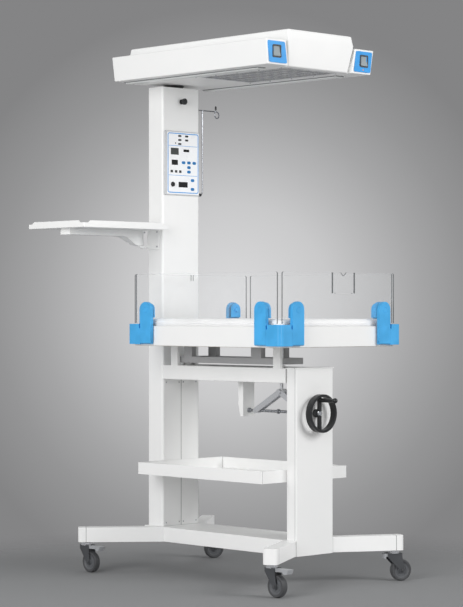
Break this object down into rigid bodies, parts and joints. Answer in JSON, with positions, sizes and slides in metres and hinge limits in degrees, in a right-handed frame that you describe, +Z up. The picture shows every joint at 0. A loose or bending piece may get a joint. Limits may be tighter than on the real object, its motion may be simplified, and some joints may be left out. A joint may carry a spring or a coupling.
{
  "type": "infant radiant warmer",
  "caption": "Wheeled stand with a tilting infant bed inside folding clear panels, a crank-driven screw jack, a monitor shelf and a swivelling radiant heater head.",
  "frame": {"origin": "on the floor, in the middle of the warmer's bounding rectangle", "axes": "+Z up, -Y the front with the handwheel, +X the side with the infusion pole"},
  "size_m": [0.8529, 1.116, 1.881],
  "materials": {
    "white_paint": "satin white powder coat",
    "grey_plastic": "dark grey moulding",
    "black_plastic": "satin black",
    "black_rubber": "matte",
    "blue_plastic": "satin moulding",
    "clear_acrylic": "clear acrylic sheet",
    "steel": "bright plated",
    "foam": "wipe-clean white cover"
  },
  "bodies": {
    "stand": {"base_frame": "white_paint", "front_column": "white_paint", "rear_column": "white_paint", "lower_cover_left": "white_paint", "lower_cover_right": "white_paint", "control_panel": "white_paint", "infusion_pole": "steel", "monitor_bracket": "white_paint", "storage_tray": "white_paint", "bed_beam": "white_paint", "jack_bracket": "white_paint", "head_turntable": "black_plastic", "lock_bush": "black_plastic"},
    "caster_front_left": {"caster_fork_front_left": "grey_plastic"},
    "wheel_front_left": {"caster_wheel_front_left": "black_rubber"},
    "pedal_front_left": {"brake_pedal_front_left": "grey_plastic"},
    "caster_front_right": {"caster_fork_front_right": "grey_plastic"},
    "wheel_front_right": {"caster_wheel_front_right": "black_rubber"},
    "pedal_front_right": {"brake_pedal_front_right": "grey_plastic"},
    "caster_rear_left": {"caster_fork_rear_left": "grey_plastic"},
    "wheel_rear_left": {"caster_wheel_rear_left": "black_rubber"},
    "pedal_rear_left": {"brake_pedal_rear_left": "grey_plastic"},
    "caster_rear_right": {"caster_fork_rear_right": "grey_plastic"},
    "wheel_rear_right": {"caster_wheel_rear_right": "black_rubber"},
    "pedal_rear_right": {"brake_pedal_rear_right": "grey_plastic"},
    "head": {"head_cover": "white_paint", "heater_grille": "steel", "heater_element": "steel", "lamp_strip_left": "white_paint", "lamp_strip_right": "white_paint"},
    "rocker_left": {"rocker_switch_left": "grey_plastic"},
    "rocker_right": {"rocker_switch_right": "grey_plastic"},
    "lock": {"lock_knob": "black_plastic"},
    "shelf": {"monitor_tray": "white_paint", "monitor_arm": "white_paint"},
    "bed": {"tilt_cradle": "white_paint", "bed_frame": "white_paint", "mattress": "foam", "corner_block_front_left": "blue_plastic", "corner_block_front_right": "blue_plastic", "corner_block_rear_left": "blue_plastic", "corner_block_rear_right": "blue_plastic", "clear_panel_rear": "clear_acrylic"},
    "panel_left": {"clear_panel_left": "clear_acrylic", "clamp_left_rear": "blue_plastic", "clamp_left_front": "blue_plastic"},
    "panel_right": {"clear_panel_right": "clear_acrylic", "clamp_right_front": "blue_plastic", "clamp_right_rear": "blue_plastic"},
    "panel_front": {"clear_panel_front": "clear_acrylic", "clamp_front_left": "blue_plastic", "clamp_front_right": "blue_plastic"},
    "screw": {"lead_screw": "steel", "handwheel": "black_plastic"},
    "crank": {"crank_grip": "black_plastic"},
    "nut_front": {"nut_front": "steel"},
    "nut_rear": {"nut_rear": "steel"},
    "link_front": {"link_front": "steel"},
    "link_rear": {"link_rear": "steel"},
    "push_rod": {"push_rod": "steel"}
  },
  "joints": [
    {"name": "caster_swivel_front_left", "type": "hinge", "parent": "stand", "child": "caster_front_left", "pos_m": [-0.23367, -0.47204, 0], "axis": [0, 0, 1], "continuous": true},
    {"name": "wheel_spin_front_left", "type": "hinge", "parent": "caster_front_left", "child": "wheel_front_left", "pos_m": [-0.23367, -0.49804, 0.0375], "axis": [1, 0, 0], "continuous": true},
    {"name": "pedal_press_front_left", "type": "hinge", "parent": "caster_front_left", "child": "pedal_front_left", "pos_m": [-0.23367, -0.49454, 0.0905], "axis": [1, 0, 0], "range_deg": [0, 15]},
    {"name": "caster_swivel_front_right", "type": "hinge", "parent": "stand", "child": "caster_front_right", "pos_m": [0.36446, -0.47204, 0], "axis": [0, 0, 1], "continuous": true},
    {"name": "wheel_spin_front_right", "type": "hinge", "parent": "caster_front_right", "child": "wheel_front_right", "pos_m": [0.3884, -0.4822, 0.0375], "axis": [0.3907, 0.9205, 0], "continuous": true},
    {"name": "pedal_press_front_right", "type": "hinge", "parent": "caster_front_right", "child": "pedal_front_right", "pos_m": [0.34375, -0.46325, 0.0905], "axis": [-0.3907, -0.9205, 0], "range_deg": [0, 15]},
    {"name": "caster_swivel_rear_left", "type": "hinge", "parent": "stand", "child": "caster_rear_left", "pos_m": [-0.23267, 0.46971, 0], "axis": [0, 0, 1], "continuous": true},
    {"name": "wheel_spin_rear_left", "type": "hinge", "parent": "caster_rear_left", "child": "wheel_rear_left", "pos_m": [-0.23267, 0.44371, 0.0375], "axis": [1, 0, 0], "continuous": true},
    {"name": "pedal_press_rear_left", "type": "hinge", "parent": "caster_rear_left", "child": "pedal_rear_left", "pos_m": [-0.23267, 0.44721, 0.0905], "axis": [1, 0, 0], "range_deg": [0, 15]},
    {"name": "caster_swivel_rear_right", "type": "hinge", "parent": "stand", "child": "caster_rear_right", "pos_m": [0.36346, 0.46971, 0], "axis": [0, 0, 1], "continuous": true},
    {"name": "wheel_spin_rear_right", "type": "hinge", "parent": "caster_rear_right", "child": "wheel_rear_right", "pos_m": [0.3874, 0.45955, 0.0375], "axis": [0.3907, 0.9205, 0], "continuous": true},
    {"name": "pedal_press_rear_right", "type": "hinge", "parent": "caster_rear_right", "child": "pedal_rear_right", "pos_m": [0.34275, 0.47851, 0.0905], "axis": [-0.3907, -0.9205, 0], "range_deg": [0, 15]},
    {"name": "head_swivel", "type": "hinge", "parent": "stand", "child": "head", "pos_m": [0.0654, 0.33174, 1.756], "axis": [0, 0, 1], "range_deg": [-90, 90]},
    {"name": "lock_pull", "type": "slide", "parent": "stand", "child": "lock", "axis": [0, -1, 0], "range_m": [0, 0.006], "stiffness_N_per_m": 800, "springref_m": -0.002},
    {"name": "rocker_press_left", "type": "hinge", "parent": "head", "child": "rocker_left", "pos_m": [-0.1486, -0.40496, 1.8], "axis": [1, 0, 0], "range_deg": [0, 16]},
    {"name": "rocker_press_right", "type": "hinge", "parent": "head", "child": "rocker_right", "pos_m": [0.2794, -0.40496, 1.8], "axis": [1, 0, 0], "range_deg": [0, 16]},
    {"name": "shelf_swing", "type": "hinge", "parent": "stand", "child": "shelf", "pos_m": [-0.0431, 0.38704, 1.172], "axis": [0, 0, -1], "range_deg": [0, 90]},
    {"name": "screw_turn", "type": "hinge", "parent": "stand", "child": "screw", "pos_m": [0.0654, -0.38096, 0.5885], "axis": [0, 1, 0], "range_deg": [0, 1654.9]},
    {"name": "crank_spin", "type": "hinge", "parent": "screw", "child": "crank", "pos_m": [0.0654, -0.38096, 0.6335], "axis": [0, 1, 0], "continuous": true},
    {"name": "bed_tilt", "type": "hinge", "parent": "stand", "child": "bed", "pos_m": [0.0654, 0.25504, 0.7625], "axis": [-1, 0, 0], "range_deg": [0, 5]},
    {"name": "nut_front_travel", "type": "slide", "parent": "stand", "child": "nut_front", "axis": [0, 1, 0], "range_m": [0, 0.0369]},
    {"name": "nut_rear_travel", "type": "slide", "parent": "stand", "child": "nut_rear", "axis": [0, -1, 0], "range_m": [0, 0.0369]},
    {"name": "link_front_swing", "type": "hinge", "parent": "nut_front", "child": "link_front", "pos_m": [0.0654, -0.34208, 0.5885], "axis": [1, 0, 0], "range_deg": [0, 23.2]},
    {"name": "link_rear_swing", "type": "hinge", "parent": "nut_rear", "child": "link_rear", "pos_m": [0.0654, -0.10084, 0.5885], "axis": [-1, 0, 0], "range_deg": [0, 23.2]},
    {"name": "push_rod_lift", "type": "slide", "parent": "stand", "child": "push_rod", "axis": [0, 0, 1], "range_m": [0, 0.0419]},
    {"name": "panel_left_fold", "type": "hinge", "parent": "bed", "child": "panel_left", "pos_m": [-0.2246, -0.12996, 0.83], "axis": [0, -1, 0], "range_deg": [0, 180]},
    {"name": "panel_right_fold", "type": "hinge", "parent": "bed", "child": "panel_right", "pos_m": [0.3554, -0.12996, 0.83], "axis": [0, 1, 0], "range_deg": [0, 180]},
    {"name": "panel_front_fold", "type": "hinge", "parent": "bed", "child": "panel_front", "pos_m": [0.0654, -0.50296, 0.83], "axis": [1, 0, 0], "range_deg": [0, 180]}
  ],
  "couplings": [
    {"joint": "screw_turn", "follows": "bed_tilt", "ratio": 330.97},
    {"joint": "nut_front_travel", "follows": "bed_tilt", "m_per_rad": 0.4214},
    {"joint": "nut_rear_travel", "follows": "bed_tilt", "m_per_rad": 0.4214},
    {"joint": "link_front_swing", "follows": "bed_tilt", "ratio": 4.6199},
    {"joint": "link_rear_swing", "follows": "bed_tilt", "ratio": 4.6199},
    {"joint": "push_rod_lift", "follows": "bed_tilt", "m_per_rad": 0.4788}
  ]
}
